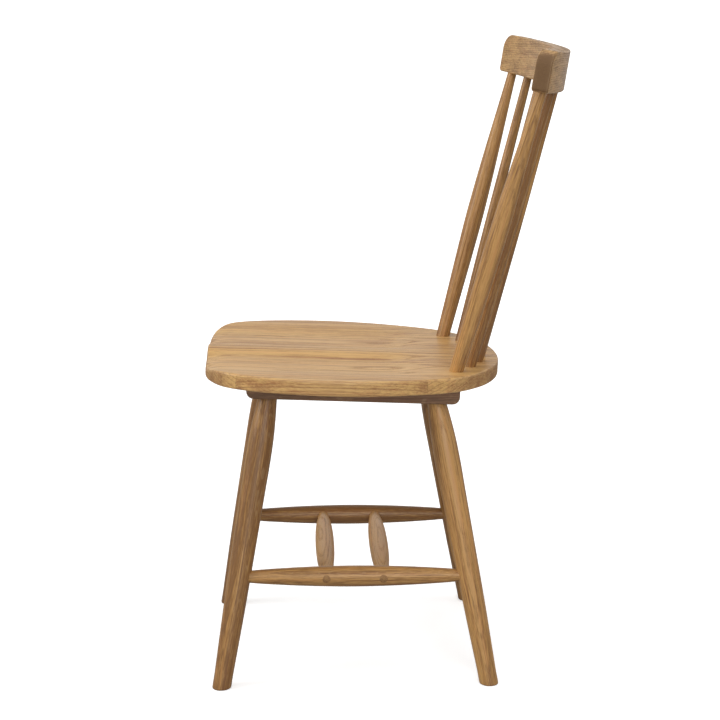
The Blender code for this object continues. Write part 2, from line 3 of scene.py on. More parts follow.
import bpy
import numpy as np
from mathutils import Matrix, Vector


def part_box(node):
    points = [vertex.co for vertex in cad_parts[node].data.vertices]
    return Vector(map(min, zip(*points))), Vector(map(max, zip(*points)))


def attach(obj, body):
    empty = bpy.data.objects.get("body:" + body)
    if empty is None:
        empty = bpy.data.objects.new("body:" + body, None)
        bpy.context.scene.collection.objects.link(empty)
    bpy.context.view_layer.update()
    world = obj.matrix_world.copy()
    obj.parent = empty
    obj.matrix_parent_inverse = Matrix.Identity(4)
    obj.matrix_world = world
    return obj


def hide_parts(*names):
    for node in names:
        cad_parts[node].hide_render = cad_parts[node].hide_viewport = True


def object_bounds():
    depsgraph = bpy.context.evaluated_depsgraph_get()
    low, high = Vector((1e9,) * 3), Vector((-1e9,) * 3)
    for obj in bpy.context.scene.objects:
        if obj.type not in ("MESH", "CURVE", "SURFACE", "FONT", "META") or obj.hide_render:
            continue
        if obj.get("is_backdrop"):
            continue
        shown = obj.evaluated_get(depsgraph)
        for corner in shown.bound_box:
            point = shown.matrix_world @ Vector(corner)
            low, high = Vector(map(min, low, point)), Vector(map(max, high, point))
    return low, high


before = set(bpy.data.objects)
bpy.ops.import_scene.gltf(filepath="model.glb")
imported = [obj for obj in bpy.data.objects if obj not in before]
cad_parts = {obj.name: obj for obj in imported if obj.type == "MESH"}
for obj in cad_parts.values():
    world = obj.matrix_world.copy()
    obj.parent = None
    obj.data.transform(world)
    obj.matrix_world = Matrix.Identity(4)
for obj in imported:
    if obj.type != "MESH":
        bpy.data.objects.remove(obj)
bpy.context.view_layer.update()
print("nodes in the frame:", len(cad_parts))

# %% [markdown]
# ## Measures of the chair
# A chair maker works from a rod, a list of the few sizes from which all the others follow.
# The same sizes are written here in metres, counted from the middle of the chair, with the
# front towards -Y.  The seat slopes back a little, so it has its own level frame, and the
# crest rail is raked, so it has one too.
# %% Sizes of seat, legs and stretchers
SEAT_WIDTH, SEAT_DEPTH, SEAT_THICKNESS = 0.414, 0.412, 0.021
SEAT_MIDDLE_Y, SEAT_TOP, SEAT_SLOPE = 0.003, 0.438, math.radians(2.3)
SEAT_ARRIS = 0.003
HOLLOW_DEPTH, RUN_OUT = 0.0065, 0.80
BATTEN_LOW = -0.048          # underside of the battens, counted from the top of the seat
BATTEN_X, BATTEN_Y, BATTEN_HALF = 0.0965, 0.001, 0.1465
LEG_LEAN_X, LEG_LEAN_FRONT, LEG_LEAN_REAR = 0.197, 0.171, 0.182
LEG_RADIUS, LEG_SOCKET = 0.0176, 0.019
LEG_IN_OUT = {-1: (0.02982, 0.00075), 1: (0.03061, 0.00259)}    # from a batten's end and line
SIDE_Z, SIDE_DROP, SIDE_RADIUS, SIDE_END, PAST_AXIS = 0.150, 0.002, 0.0145, 0.0086, 0.004
CROSS_FRONT, CROSS_REAR, CROSS_RADIUS, CROSS_END = -0.03836, 0.03964, 0.0135, 0.0080
TENON_RADIUS, SHOULDER_IN = 0.0055, 0.004

# %% Sizes of the back
BACK_COUNT, BACK_HALF, BACK_DEPTH, BACK_Y = 8, 0.120, 0.0395, 0.1835
BACK_RADIUS = (BACK_HALF ** 2 + BACK_DEPTH ** 2) / (2.0 * BACK_DEPTH)
POST_FOOT_FORWARD = 0.0038
POST_FOOT, POST_RADIUS, POST_TOP = 0.0097, 0.0127, 0.0063
SPINDLE_FOOT, SPINDLE_RADIUS, SPINDLE_TOP = 0.0067, 0.0078, 0.0060
SEAT_SOCKET, CREST_SOCKET = 0.014, 0.020
CREST_HALF, CREST_RADIUS, CREST_THICKNESS, CREST_HEIGHT = 0.199, 0.465, 0.0228, 0.0550
CREST_RAKE, CREST_Y, CREST_Z = math.radians(9.0), 0.2806, 0.8095
CREST_TOP_CORNER, CREST_LOW_CORNER, CREST_ARRIS = 0.021, 0.005, 0.0022
POST_ON_CREST, POST_FORWARD = 0.174, 0.0028


# %% Level frames of the seat and of the crest rail
def tilted(points, angle, origin):
    """Turn points about X by minus angle, then move them: y' = y cos a + z sin a,
    z' = z cos a - y sin a, plus the origin."""
    x, y, z = points[..., 0], points[..., 1], points[..., 2]
    c, s = math.cos(angle), math.sin(angle)
    return np.stack([x, y * c + z * s, z * c - y * s], axis=-1) + np.asarray(origin)


def seat_place(points):
    """Points counted from the top of the seat, brought to the chair."""
    return tilted(points, SEAT_SLOPE, (0.0, 0.0, SEAT_TOP))


def crest_place(points):
    """(run round the bend, height up the rail, offset outwards) brought to the chair:
    x = R sin t, y = R cos t - R0 with t = run / R0 and R = R0 + offset."""
    turn = points[..., 0] / CREST_RADIUS
    reach = CREST_RADIUS + points[..., 2]
    flat = np.stack([reach * np.sin(turn), reach * np.cos(turn) - CREST_RADIUS,
                     points[..., 1]], axis=-1)
    return tilted(flat, CREST_RAKE, (0.0, CREST_Y, CREST_Z))


# %% [markdown]
# ## One way to make every wooden surface
# A surface is a grid of points: one parameter goes round the piece and the other goes over
# it, from a pole at one end to a pole at the other.  Four neighbours make a face, and the
# poles are closed with a fan of triangles, so each piece is one closed skin.
#
# The skin also remembers where each of its points lay in the plank it was cut from.  That
# is stored on the points as *grain*: across, across, and along the tree.  A solid pattern
# of rings then gives long streaks on the sides and true end grain on the ends, as a saw
# does.  A second note, *finish*, holds the tone of the piece, which for several turned
# pieces also carries painted shade or light, how much a point faces along the grain, and
# where a glue line or a rubbed arris shows.
# %% Skin a grid
def skin_faces(rows, around):
    """Quads (i, k), (i, k+1), (i+1, k+1), (i+1, k) of a grid that closes on itself, and
    fans from pole 0 to the first row and from the last row to the last pole."""
    k = np.arange(around)
    n = (k + 1) % around
    first = 1 + (np.arange(rows - 1) * around)[:, None]
    quads = np.stack([first + k, first + n, first + around + n, first + around + k], axis=-1)
    end = 1 + rows * around
    last = 1 + (rows - 1) * around
    near = np.stack([np.zeros_like(k), 1 + n, 1 + k], axis=-1)
    far = np.stack([np.full_like(k, end), last + k, last + n], axis=-1)
    return quads.reshape(-1, 4), np.concatenate([near, far])


def signed_volume(points, quads, fans):
    """Sum of a . (b x c) / 6 over the triangles: positive if the faces look outwards."""
    tris = np.concatenate([quads[:, [0, 1, 2]], quads[:, [0, 2, 3]], fans])
    a, b, c = points[tris[:, 0]], points[tris[:, 1]], points[tris[:, 2]]
    return float((a * np.cross(b, c)).sum() / 6.0)


def skin(name, grid, poles, grain, grain_poles, tone=0.0, rub=None):
    """Make a closed mesh of a grid (rows, around, 3) and its two poles."""
    rows, around = grid.shape[:2]
    points = np.concatenate([[poles[0]], grid.reshape(-1, 3), [poles[1]]])
    timber = np.concatenate([[grain_poles[0]], grain.reshape(-1, 3), [grain_poles[1]]])
    quads, fans = skin_faces(rows, around)
    if signed_volume(points, quads, fans) < 0:
        quads, fans = quads[:, ::-1], fans[:, ::-1]
    mesh = bpy.data.meshes.new(name)
    mesh.from_pydata(points.tolist(), [], quads.tolist() + fans.tolist())
    mesh.shade_smooth()
    normal = np.empty(len(points) * 3)
    mesh.vertex_normals.foreach_get("vector", normal)
    rubbed = np.zeros(len(points)) if rub is None else np.concatenate(
        [[0.0], np.broadcast_to(rub, grid.shape[:2]).reshape(-1), [0.0]])
    note(mesh, "grain", timber)
    # The first number is the piece's tone: timber tone, and for several turned pieces also painted
    # shade or light.
    note(mesh, "finish", np.stack([np.full(len(points), tone),
                                   facing_end(points, timber, normal.reshape(-1, 3)),
                                   rubbed], axis=-1))
    piece = bpy.data.objects.new(name, mesh)
    bpy.context.scene.collection.objects.link(piece)
    return piece


# %% Notes on the points
def note(mesh, name, values):
    """Store three numbers on every point of a mesh."""
    attribute = mesh.attributes.new(name, "FLOAT_VECTOR", "POINT")
    attribute.data.foreach_set("vector", np.asarray(values, np.float32).reshape(-1))


def facing_end(points, timber, normals):
    """How much each point faces along the tree.  The direction of the tree is the one in
    which the third grain number grows: a straight fit of timber z on x, y and z."""
    spread = points - points.mean(axis=0)
    along = np.linalg.lstsq(spread, timber[:, 2] - timber[:, 2].mean(), rcond=None)[0]
    return np.abs(normals @ (along / np.linalg.norm(along)))


# %% [markdown]
# ## Where a piece sat in the tree
# No two pieces come from the same place in a log.  Each gets its own spot, a distance from
# the pith and a turn, from one seeded draw, so the chair is the same every time it is made.
# %% Draw a spot in the log
DRAW = np.random.default_rng(41)


def log_spot(near=0.035, far=0.110):
    """Distance from the pith, turn about the tree, and height up the tree."""
    return DRAW.uniform(near, far), DRAW.uniform(0.0, 2.0 * math.pi), DRAW.uniform(0.0, 4.0)


def in_the_log(across, other, along, spot):
    """Turn (across, other) by the spot's angle, push them off the pith, add its height."""
    distance, turn, height = spot
    c, s = math.cos(turn), math.sin(turn)
    return np.stack([across * c - other * s + distance, across * s + other * c,
                     along + height], axis=-1)


# %% [markdown]
# ## Turned pieces
# Legs, stretchers, posts and spindles come off a lathe.  The turner marks a few diameters
# along the blank and joins them by eye with a fair curve.  Here the curve is a cubic through
# the same marks, and the surface is that curve carried round the axis.
# %% Fair curve through the marks
def fair_curve(marks, at):
    """Cubic through marks (distance, radius), with slopes from the neighbours:
    r = h00 r0 + h10 d m0 + h01 r1 + h11 d m1 in each span."""
    xs, rs = np.array(marks, float).T
    slopes = np.gradient(rs, xs)
    i = np.clip(np.searchsorted(xs, at) - 1, 0, len(xs) - 2)
    d = xs[i + 1] - xs[i]
    u = (at - xs[i]) / d
    return ((1 + 2 * u) * (1 - u) ** 2 * rs[i] + u * (1 - u) ** 2 * d * slopes[i]
            + u * u * (3 - 2 * u) * rs[i + 1] + u * u * (u - 1) * d * slopes[i + 1])


def square_to(direction):
    """The direction with length one, and two unit vectors square to it."""
    d = direction / np.linalg.norm(direction)
    side = np.cross(d, [0.0, 0.0, 1.0])
    side /= np.linalg.norm(side)
    return d, side, np.cross(d, side)


AROUND = 56


def turn_on_lathe(name, start, direction, distance, radius, tone, spot, rub=None, slide=None):
    """Surface start + d s + (a cos t + b sin t) r(s).  slide(offset) may push a row along
    the axis, where an end is cut level or shaped to a neighbour."""
    d, a, b = square_to(np.asarray(direction, float))
    t = np.linspace(0.0, 2.0 * math.pi, AROUND, endpoint=False)
    round_it = a * np.cos(t)[:, None] + b * np.sin(t)[:, None]
    offset = round_it[None] * radius[:, None, None]
    along = np.broadcast_to(distance[:, None], offset.shape[:2]).copy()
    if slide is not None:
        along = slide(along, offset)
    grid = start + d * along[..., None] + offset
    grain = in_the_log(offset @ a, offset @ b, along, spot)
    ends = [along[0].mean(), along[-1].mean()]
    poles = [start + d * e for e in ends]
    pith = [in_the_log(0.0, 0.0, e, spot) for e in ends]
    return skin(name, grid, poles, grain, pith, tone, None if rub is None else rub[:, None])


print("a turned piece has", AROUND, "points round it")

# %% [markdown]
# ## Legs
# Each leg is thickest a little above its middle, thins to a neck under the batten and to a
# slim foot, and is cut level with the floor after the chair is put together.  It leans
# outwards to the side and to the front or rear, by so much for each unit of height.
# %% Turn the four legs
def leg_line(side, end):
    """Foot on the floor and run for one unit of height, from the place in the batten."""
    inset, out = LEG_IN_OUT[end]
    lean = LEG_LEAN_FRONT if end < 0 else LEG_LEAN_REAR
    head = seat_place(np.array([side * (BATTEN_X + out),
                                BATTEN_Y + end * (BATTEN_HALF - inset), BATTEN_LOW]))
    run = np.array([-side * LEG_LEAN_X, -end * lean, 1.0])
    return head - run * head[2], run, head


FOOT_ROUND = np.array([0.0, 0.0003, 0.0008, 0.0016, 0.0026])    # heights of the rounding
FOOT_SHARES = np.array([0.45, 0.84, 0.92, 0.97, 0.99, 1.0])     # of the radius there
FOOT_SHARE, FOOT_END, SOCKET_START = 0.735, 0.045, 0.995


def make_leg(name, side, end, tone):
    """A leg from five roundings at the foot and a fair curve up to its socket."""
    foot, run, head = leg_line(side, end)
    reach = float(np.linalg.norm(head - foot))
    r = LEG_RADIUS
    marks = [(FOOT_END, FOOT_SHARE), (0.28, 0.86), (0.50, 0.925), (0.66, 0.965), (0.80, 1.0),
             (0.86, 0.975), (0.93, 0.875), (SOCKET_START, FOOT_SHARE)]
    s = np.linspace(FOOT_END, SOCKET_START, 90) * reach
    curve = fair_curve([(m * reach, q * r) for m, q in marks], s)
    foot_r = FOOT_SHARE * r * FOOT_SHARES
    foot_h = np.concatenate([[0.0], FOOT_ROUND])
    distance = np.concatenate([foot_h, s, [reach + 0.004, reach + LEG_SOCKET]])
    radius = np.concatenate([foot_r, curve, [0.725 * r, 0.70 * r]])
    up = (run / np.linalg.norm(run))[2]

    def level(along, offset):
        rows = len(foot_h)
        along[:rows] = (foot_h[:, None] - foot[2] - offset[:rows, :, 2]) / up
        return along

    rub = np.zeros(len(distance))
    rub[2:6] = (-0.5, -0.7, -0.5, -0.2)
    return turn_on_lathe(name, foot, run, distance, radius, tone, log_spot(), rub, level)


# Leg tones are partly timber and partly painted light: the front legs are darker as painted shade
# under the seat, and the rear right leg is lighter as painted light.
LEG_TONE_AND_SHADE = {(1, -1): -0.36, (1, 1): 0.14, (-1, -1): -0.30, (-1, 1): -0.10}
new_pieces = {}
for (side, end), tone in LEG_TONE_AND_SHADE.items():
    leg_name = "leg_%s_%s" % ("front" if end < 0 else "rear", "right" if side > 0 else "left")
    new_pieces[leg_name] = make_leg("turned_" + leg_name, side, end, tone)
print("legs:", sorted(new_pieces))

# %% [markdown]
# ## Stretchers
# A side stretcher swells in its middle so that there is wood enough for the two holes of the
# cross stretchers.  The cross stretchers are swollen too, like long eggs, and end in round
# tenons that go right through.  Their ends are pared down to the round of the side stretcher
# and show there as darker discs, because end grain drinks more oil.
# %% Turn the side stretchers
def side_line(side):
    """Where the middle line of a side stretcher meets the middle lines of its two legs."""
    ends = []
    for end, height in ((-1, SIDE_Z), (1, SIDE_Z - SIDE_DROP)):
        foot, run, _ = leg_line(side, end)
        ends.append(foot + run * height)
    return ends


def make_side(name, side, tone):
    """Straight where it lies in the legs, then a fair swell to the middle and back."""
    front, rear = side_line(side)
    d = (rear - front) / np.linalg.norm(rear - front)
    length = float(np.linalg.norm(rear - front)) + 2 * PAST_AXIS
    e, m = SIDE_END, SIDE_RADIUS
    let_in = (PAST_AXIS + 0.91 * LEG_RADIUS) / length
    half = [(0.0, 0.97 * e), (let_in, e), (let_in + 0.0335, e + 0.16 * (m - e)),
            (0.17, e + 0.43 * (m - e)), (0.26, e + 0.69 * (m - e)),
            (0.37, e + 0.90 * (m - e)), (0.5, m)]
    marks = [(t * length, r) for t, r in half + [(1.0 - t, r) for t, r in half[-2::-1]]]
    s = np.linspace(0.0, length, 120)
    return turn_on_lathe(name, front - d * PAST_AXIS, d, s, fair_curve(marks, s), tone,
                         log_spot(0.02, 0.05))


# The left side stretcher, on the far side under the seat, gets a much darker tone: painted shade.
for side, side_name, tone in ((1, "right", -0.08), (-1, "left", -0.74)):
    node = "side_stretcher_" + side_name
    new_pieces[node] = make_side("turned_" + node, side, tone)


# %% Turn the cross stretchers with their through tenons
def side_radius(y):
    """Radius of a side stretcher at a distance front to back, straight between marks."""
    front, rear = side_line(1)
    length = np.linalg.norm(rear - front) + 2 * PAST_AXIS
    t = (y - front[1] + PAST_AXIS) / length
    share = np.interp(t, [0.0, 0.26, 0.37, 0.5, 0.63, 0.74, 1.0],
                      [0.0, 0.69, 0.90, 1.0, 0.90, 0.69, 0.0])
    return float(SIDE_END + (SIDE_RADIUS - SIDE_END) * share)


def make_cross(name, from_middle, tone):
    """Rows from one pared end, over the swell, to the other pared end."""
    ends = {side: side_line(side) for side in (-1, 1)}
    y = (ends[1][0][1] + ends[1][1][1]) / 2.0 + from_middle
    left, right = [f + (r - f) * (y - f[1]) / (r[1] - f[1]) for f, r in (ends[-1], ends[1])]
    half = float(np.linalg.norm(right - left)) / 2.0
    rs, e, m, t = side_radius(y), CROSS_END, CROSS_RADIUS, TENON_RADIUS
    shoulder = half - rs + SHOULDER_IN
    marks = [(-1.0, e), (-0.93, e + 0.06 * (m - e)), (-0.75, e + 0.46 * (m - e)),
             (-0.52, e + 0.78 * (m - e)), (-0.26, e + 0.95 * (m - e)), (0.0, m)]
    marks = [(u * shoulder, r) for u, r in marks + [(-u, r) for u, r in marks[-2::-1]]]
    s = np.linspace(-shoulder, shoulder, 90)
    cap_r = t * np.array([0.4, 0.8, 0.93, 1.0, 1.05, 1.05, 0.98])
    proud = np.array([0.22, 0.22, 0.20, 0.08, 0.04, -0.8, -3.0]) / 1000.0
    cap_rub = np.array([-0.55, -0.55, -0.65, -1.0, -1.0, -1.0, 0.0])
    rows = len(cap_r)
    distance = np.concatenate([np.full(rows, -half), [-shoulder], s, [shoulder],
                               np.full(rows, half)])
    radius = np.concatenate([cap_r, [t + 0.0008], fair_curve(marks, s), [t + 0.0008],
                             cap_r[::-1]])
    rub = np.concatenate([cap_rub, np.zeros(len(s) + 2), cap_rub[::-1]])

    def pare(along, offset):
        bulge = np.sqrt(np.maximum(rs ** 2 - offset[..., 2] ** 2, 0.0))
        along[:rows] = -(half + bulge[:rows] + proud[:, None])
        along[-rows:] = half + bulge[-rows:] + proud[::-1, None]
        return along

    return turn_on_lathe(name, (left + right) / 2.0, right - left, distance, radius, tone,
                         log_spot(0.02, 0.06), rub, pare)


# The cross stretchers get a light tone as painted light, which lifts them out of the shade of the
# seat.
for end_name, from_middle in (("front", CROSS_FRONT), ("rear", CROSS_REAR)):
    node = "cross_stretcher_" + end_name
    new_pieces[node] = make_cross("turned_" + node, from_middle, 0.50)
print("stretchers done:", len(new_pieces), "pieces so far")

# %% [markdown]
# ## Posts and spindles of the back
# The two outer posts are thicker, because they carry the crest rail when somebody leans
# back, and the six spindles between them only have to give.  Their feet stand on an arc
# near the rear of the seat and their heads follow the bend of the rail, so no two of them
# lean quite alike.
# %% Turn the posts and spindles
def back_line(i):
    """Foot on the seat and place under the rail of back piece i."""
    share = -1.0 + 2.0 * i / (BACK_COUNT - 1)
    a = math.asin(BACK_HALF / BACK_RADIUS) * share
    foot = np.array([BACK_RADIUS * math.sin(a), BACK_Y - BACK_RADIUS * (1.0 - math.cos(a)), 0.0])
    if i in (0, BACK_COUNT - 1):
        foot[1] -= POST_FOOT_FORWARD
    run = CREST_RADIUS * math.asin(POST_ON_CREST / CREST_RADIUS) * share
    head = np.array([run, CREST_SOCKET * 0.45, -POST_FORWARD * share ** 2])
    return seat_place(foot), crest_place(head)


POST_MARKS = [(0.0, 0.0), (0.20, 0.48), (0.33, 0.82), (0.44, 1.0)]
POST_DOWN = [(0.56, 0.90), (0.70, 0.65), (0.82, 0.37), (0.92, 0.14), (1.0, 0.0)]
SPINDLE_MARKS = [(0.0, 0.0), (0.22, 0.62), (0.42, 1.0)]
SPINDLE_DOWN = [(0.60, 0.85), (0.80, 0.40), (1.0, 0.0)]


def make_back_piece(name, i, sizes, marks_up, marks_down, tone):
    """A fair curve from the foot to the belly and from the belly to the top."""
    foot, head = back_line(i)
    f, m, t = sizes
    reach = float(np.linalg.norm(head - foot))
    marks = [(u, f + q * (m - f)) for u, q in marks_up] + [(u, t + q * (m - t))
                                                          for u, q in marks_down]
    u = np.linspace(0.0, 1.0, 110)
    body = fair_curve(marks, u)
    high = CREST_SOCKET * 0.5
    distance = np.concatenate([[-SEAT_SOCKET, 0.0008 - SEAT_SOCKET], u * reach,
                               [reach + high - 0.0008, reach + high]])
    radius = np.concatenate([[f - 0.0006, f], body, [t, t - 0.0006]])
    return turn_on_lathe(name, foot, head - foot, distance, radius, tone, log_spot(0.015, 0.06))


POST = (POST_FOOT, POST_RADIUS, POST_TOP)
SPINDLE = (SPINDLE_FOOT, SPINDLE_RADIUS, SPINDLE_TOP)
# Back tones are partly timber and partly painted light: spindles 1, 5 and 6 are darker as painted
# shade for their place behind their neighbours and the near post, and the near post 7 is lighter
# as painted light.
BACK_TONE_AND_SHADE = [-0.06, -0.26, -0.10, 0.05, -0.20, -0.44, -0.50, 0.14]
for i in range(BACK_COUNT):
    thick = i in (0, BACK_COUNT - 1)
    node = ("back_post_" + ("left" if i == 0 else "right")) if thick else "back_spindle_%d" % i
    new_pieces[node] = make_back_piece(
        "turned_" + node, i, POST if thick else SPINDLE, POST_MARKS if thick else SPINDLE_MARKS,
        POST_DOWN if thick else SPINDLE_DOWN, BACK_TONE_AND_SHADE[i])
print("back pieces:", BACK_COUNT)

# %% [markdown]
# ## Panels
# The seat and the crest rail are cut from boards.  Both are an outline with two faces and a
# rounded arris between each face and the edge.  Rings of points shrink from the outline to
# the middle of each face, and a quarter circle carries them round the arris.
# %% A panel from an outline
ARRIS_STEPS = 7


def panel(name, loop, centre, upper, lower, arris, place, grain_of, tone, rings):
    """loop (m, 2) goes once round.  Row shares run 0 to 1 from the centre on the upper
    face, round two quarter circles of radius arris, and back on the lower face."""
    tangent = np.roll(loop, -1, axis=0) - np.roll(loop, 1, axis=0)
    normal = np.stack([tangent[:, 1], -tangent[:, 0]], axis=-1)
    normal /= np.linalg.norm(normal, axis=1)[:, None]
    if (normal * (loop - centre)).sum() < 0:
        normal = -normal
    inner = loop - normal * arris
    shares = np.linspace(0.0, 1.0, rings + 1)[1:, None, None] ** 0.9
    face = centre + (inner - centre) * shares
    a = np.linspace(0.0, math.pi / 2.0, ARRIS_STEPS)[1:, None]
    edge = inner[None] + normal[None] * (arris * np.sin(a))[..., None]
    drop = arris * (1.0 - np.cos(a))
    wall = np.repeat(loop[None], 3, axis=0)
    flat = np.concatenate([face, edge, wall, edge[::-1], face[::-1]])
    x, y = flat[..., 0], flat[..., 1]
    top, low = upper(x, y), lower(x, y)
    n, k = len(face), len(edge)
    z = np.empty_like(x)
    z[:n], z[-n:] = top[:n], low[-n:]
    z[n:n + k] = top[n:n + k] - drop
    z[-n - k:-n] = low[-n - k:-n] + drop[::-1]
    mix = np.array([0.25, 0.5, 0.75])[:, None]
    z[n + k:n + k + 3] = ((top[n + k:n + k + 3] - arris) * (1 - mix)
                          + (low[n + k:n + k + 3] + arris) * mix)
    rub = np.zeros(len(z))
    rub[n:n + k] = np.sin(np.linspace(0.2, math.pi - 0.2, k))
    rub[-n - k:-n] = 0.6 * rub[n:n + k]
    points = np.stack([x, y, z], axis=-1)
    centres = np.array([[*centre, float(upper(*centre))], [*centre, float(lower(*centre))]])
    return skin(name, place(points), place(centres), grain_of(points), grain_of(centres),
                tone, rub[:, None])


# %% [markdown]
# ## Seat
# The seat is glued up from staves that run front to back, then sawn to a rounded D and
# hollowed with a travisher or a shaped cutter: two shallow hollows with a low ridge between
# them, which fade out in front of the spindles and run out over the front edge.
# %% Outline and hollows of the seat
OUTLINE = np.array([
    (0.00, -1.000), (0.30, -1.000), (0.55, -0.990), (0.70, -0.945), (0.82, -0.865),
    (0.905, -0.725), (0.962, -0.54), (0.992, -0.35), (1.000, -0.18), (0.990, 0.00),
    (0.955, 0.20), (0.897, 0.40), (0.828, 0.575), (0.757, 0.690), (0.655, 0.790),
    (0.520, 0.882), (0.350, 0.952), (0.180, 0.988), (0.00, 1.000)])


def even_loop(corners, count):
    """A closed cubic through the corners, each span 0.5 (2 p1 + (p2 - p0) u + ...), and
    points spread evenly along it."""
    u = np.linspace(0.0, 1.0, 40, endpoint=False)[None, :, None]
    p0, p1, p2, p3 = (np.roll(corners, k, axis=0)[:, None] for k in (1, 0, -1, -2))
    fine = 0.5 * (2 * p1 + (p2 - p0) * u + (2 * p0 - 5 * p1 + 4 * p2 - p3) * u ** 2
                  + (3 * p1 - 3 * p2 + p3 - p0) * u ** 3)
    fine = np.concatenate([fine.reshape(-1, 2), corners[:1]])
    run = np.concatenate([[0.0], np.cumsum(np.linalg.norm(np.diff(fine, axis=0), axis=1))])
    at = np.linspace(0.0, run[-1], count, endpoint=False)
    return np.stack([np.interp(at, run, fine[:, 0]), np.interp(at, run, fine[:, 1])], axis=-1)


def eased(value, low, high):
    """0 below low, 1 above high, 3 u^2 - 2 u^3 between them."""
    u = np.clip((value - low) / (high - low), 0.0, 1.0)
    return u * u * (3.0 - 2.0 * u)


def hollow(x, y):
    """Depth under the flat top: steep beside the ridge, gentle towards the sides, fading
    behind, and falling away again as exp(-distance) where it runs out over the front."""
    across = np.abs(x) / (SEAT_WIDTH / 2.0)
    along = (y - SEAT_MIDDLE_Y) / (SEAT_DEPTH / 2.0)
    pair = eased(across, 0.03, 0.23) * (1.0 - eased(across, 0.50, 0.86))
    behind = 1.0 / (1.0 + np.exp((along - 0.36) / 0.07))
    front = 0.78 + 0.22 / (1.0 + np.exp(-(along + 0.70) / 0.10))
    front = front + RUN_OUT * np.exp(-(along + 1.0) / 0.07)
    return HOLLOW_DEPTH * pair * behind * front


# %% Make the seat
right_half = OUTLINE * (SEAT_WIDTH / 2.0, SEAT_DEPTH / 2.0) + (0.0, SEAT_MIDDLE_Y)
seat_loop = even_loop(np.concatenate([right_half, right_half[-2:0:-1] * (-1.0, 1.0)]), 420)


def seat_grain(points):
    """Across the staves, down through the board, and front to back along the grain."""
    return np.stack([points[..., 0], points[..., 2], points[..., 1]], axis=-1)


new_pieces["seat"] = panel(
    "saddled_seat", seat_loop, np.array([0.0, SEAT_MIDDLE_Y]), lambda x, y: -hollow(x, y),
    lambda x, y: np.zeros_like(x) - SEAT_THICKNESS, SEAT_ARRIS, seat_place, seat_grain, 0.0, 64)
print("seat points:", len(new_pieces["seat"].data.vertices))


# %% [markdown]
# ## Crest rail
# The rail is sawn from a thick block on a curve, so its grain runs straight while its faces
# bend, and the rings come out on the hollow face as long loops.  Its upper corners have a
# big round and its lower corners a small one.
# %% Outline of the crest rail
def corner(centre, radius, first, steps):
    """A quarter circle that starts at angle first, in degrees, and turns to the left."""
    a = np.radians(first + np.linspace(0.0, 90.0, steps))
    return np.asarray(centre) + radius * np.stack([np.cos(a), np.sin(a)], axis=-1)


def side_points(start, stop, count):
    """Points on a straight side, without its two ends."""
    return np.linspace(start, stop, count + 2)[1:-1]


crest_run = CREST_RADIUS * math.asin(CREST_HALF / CREST_RADIUS)
b, s = CREST_TOP_CORNER, CREST_LOW_CORNER
right_low = corner((crest_run - s, s), s, -90, 12)
right_top = corner((crest_run - b, CREST_HEIGHT - b), b, 0, 26)
left_top, left_low = (right_top[::-1] * (-1, 1)), (right_low[::-1] * (-1, 1))
crest_loop = np.concatenate([
    right_low, side_points(right_low[-1], right_top[0], 12), right_top,
    side_points(right_top[-1], left_top[0], 180), left_top,
    side_points(left_top[-1], left_low[0], 12), left_low,
    side_points(left_low[-1], right_low[0], 200)])

# %% Make the crest rail
crest_spot = (0.125, 0.10, 1.3)


def crest_grain(points):
    """The block is straight, so the grain follows the place, not the bend."""
    turn = points[..., 0] / CREST_RADIUS
    reach = CREST_RADIUS + points[..., 2]
    return in_the_log(points[..., 1], reach * np.cos(turn) - CREST_RADIUS,
                      reach * np.sin(turn), crest_spot)


new_pieces["crest_rail"] = panel(
    "sawn_crest_rail", crest_loop, np.array([0.0, CREST_HEIGHT / 2.0]),
    lambda x, y: np.zeros_like(x) + CREST_THICKNESS / 2.0,
    lambda x, y: np.zeros_like(x) - CREST_THICKNESS / 2.0, CREST_ARRIS, crest_place,
    crest_grain, 0.0, 40)
print("crest rail points:", len(new_pieces["crest_rail"].data.vertices))

# %% [markdown]
# ## Bringing the pieces to the frame
# The sizes above count from the middle of the feet, but the frame's origin lies under the
# middle of the whole chair.  The two differ by one distance from front to back, which is
# measured on the seat.  Then each new piece is held against the plain one it replaces.
# %% Move and compare
def box_of(piece):
    """Lowest and highest corner of a mesh, as arrays."""
    flat = np.empty(len(piece.data.vertices) * 3)
    piece.data.vertices.foreach_get("co", flat)
    return flat.reshape(-1, 3).min(axis=0), flat.reshape(-1, 3).max(axis=0)


shift_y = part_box("seat")[0].y - box_of(new_pieces["seat"])[0][1]
for node, piece in new_pieces.items():
    flat = np.empty(len(piece.data.vertices) * 3)
    piece.data.vertices.foreach_get("co", flat)
    flat.reshape(-1, 3)[:, 1] += shift_y
    piece.data.vertices.foreach_set("co", flat)
    piece.data.update()
    ours, cad = box_of(piece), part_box(node)
    off = max(np.abs(ours[0] - np.array(cad[0])).max(), np.abs(ours[1] - np.array(cad[1])).max())
    print("%-22s differs from its box by at most %.2f mm" % (node, off * 1000))


